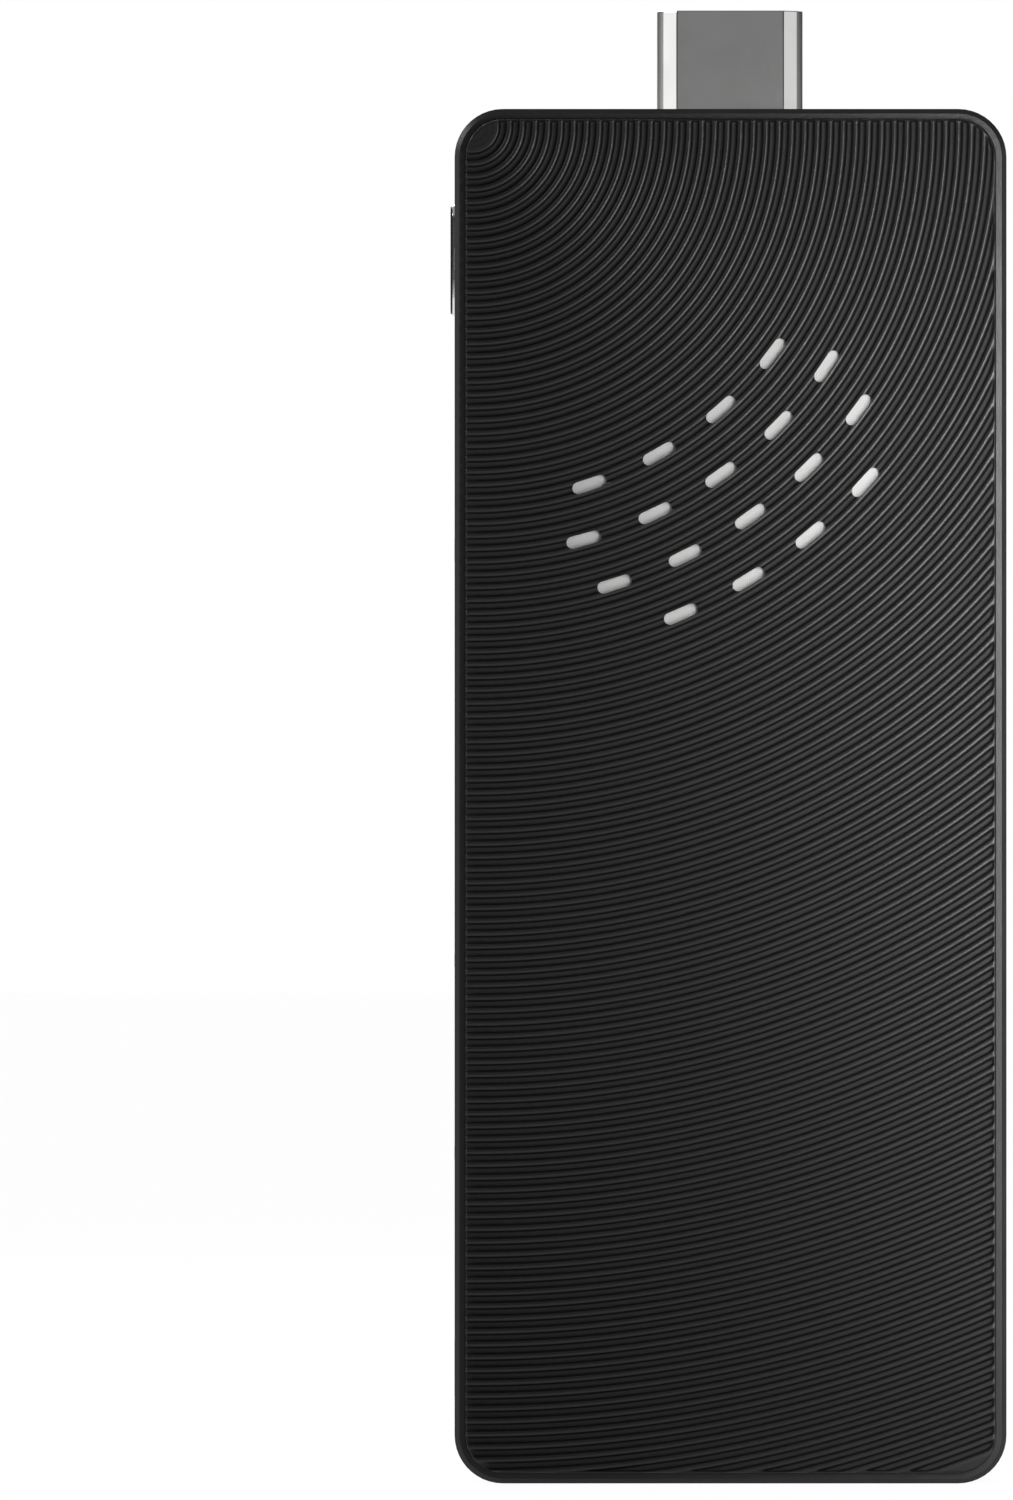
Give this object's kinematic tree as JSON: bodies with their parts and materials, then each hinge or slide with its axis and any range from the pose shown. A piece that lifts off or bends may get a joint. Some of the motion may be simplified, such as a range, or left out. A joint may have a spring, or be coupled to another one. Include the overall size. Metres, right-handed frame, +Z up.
{
  "type": "hdmi stick computer",
  "caption": "Slim stick computer with a fixed HDMI plug, ribbed covers with vents, a side power button, a card slot, USB sockets and a USB-C power inlet.",
  "frame": {"origin": "middle of the bottom end, on the surface it stands on", "axes": "+Z up towards the HDMI plug, +X towards the port side, -Y towards the swelling ribbed cover, +Y towards the flat ribbed cover"},
  "size_m": [0.053, 0.0164, 0.1405],
  "materials": {
    "frame_plastic": "fine matt moulded black",
    "cover_plastic": "satin moulded black, ribbed",
    "button_plastic": "smooth satin black",
    "plug_nickel": "nickel plated, satin",
    "socket_steel": "bright nickel plated sheet",
    "blue_plastic": "moulded bright blue",
    "black_plastic": "moulded black",
    "white_plastic": "moulded natural white",
    "gold_contact": "gold plated",
    "board_laminate": "green solder mask",
    "screw_steel": "zinc plated",
    "sink_aluminium": "satin extruded",
    "chip_resin": "moulded epoxy",
    "pad_rubber": "soft grey",
    "screen_fabric": "fine light grey dust mesh",
    "lead_rubber": "black sheath"
  },
  "bodies": {
    "casing": {"mid_frame": "frame_plastic", "top_cover": "cover_plastic", "bottom_cover": "cover_plastic", "hdmi_shell": "plug_nickel", "usb_shell_1": "socket_steel", "usb_shell_2": "socket_steel", "usb_c_shell": "socket_steel", "card_cage": "socket_steel", "usb_tongue_1": "blue_plastic", "usb_tongue_2": "blue_plastic", "hdmi_insulator": "black_plastic", "usb_c_tongue": "black_plastic", "card_base": "black_plastic", "fan_housing": "black_plastic", "fan_socket": "black_plastic", "cell_holder": "black_plastic", "switch_body": "black_plastic", "hdmi_contacts": "gold_contact", "usb_contacts_1": "gold_contact", "usb_contacts_2": "gold_contact", "usb_c_contacts": "gold_contact", "card_contacts": "gold_contact", "main_board": "board_laminate", "antenna": "board_laminate", "board_screws": "screw_steel", "heat_sink_screws": "screw_steel", "card_spring": "screw_steel", "fan_axle": "screw_steel", "coin_cell": "screw_steel", "radio_shield": "screw_steel", "crystal": "screw_steel", "heat_sink": "sink_aluminium", "processor": "chip_resin", "memory_chips": "chip_resin", "storage_chip": "chip_resin", "power_chip": "chip_resin", "inductors": "chip_resin", "capacitors": "chip_resin", "thermal_pad": "pad_rubber", "vent_screen": "screen_fabric", "fan_lead": "lead_rubber", "antenna_lead": "lead_rubber"},
    "button": {"power_button": "button_plastic"},
    "switch_tip": {"switch_plunger": "white_plastic"},
    "card_catch": {"card_slider": "white_plastic"},
    "rotor": {"fan_rotor": "black_plastic"}
  },
  "joints": [
    {"name": "button_press", "type": "slide", "parent": "casing", "child": "button", "axis": [-1, 0, 0], "range_m": [0, 0.0003], "stiffness_N_per_m": 400},
    {"name": "switch_press", "type": "slide", "parent": "casing", "child": "switch_tip", "axis": [-1, 0, 0], "range_m": [0, 0.0003]},
    {"name": "card_catch_slide", "type": "slide", "parent": "casing", "child": "card_catch", "axis": [-1, 0, 0], "range_m": [0, 0.0012], "stiffness_N_per_m": 100, "deforming": ["card_spring"]},
    {"name": "fan_spin", "type": "hinge", "parent": "casing", "child": "rotor", "pos_m": [-0.00449, -0.002, 0.09412], "axis": [0, -1, 0], "continuous": true}
  ],
  "couplings": [
    {"joint": "switch_press", "follows": "button_press", "ratio": 1}
  ]
}
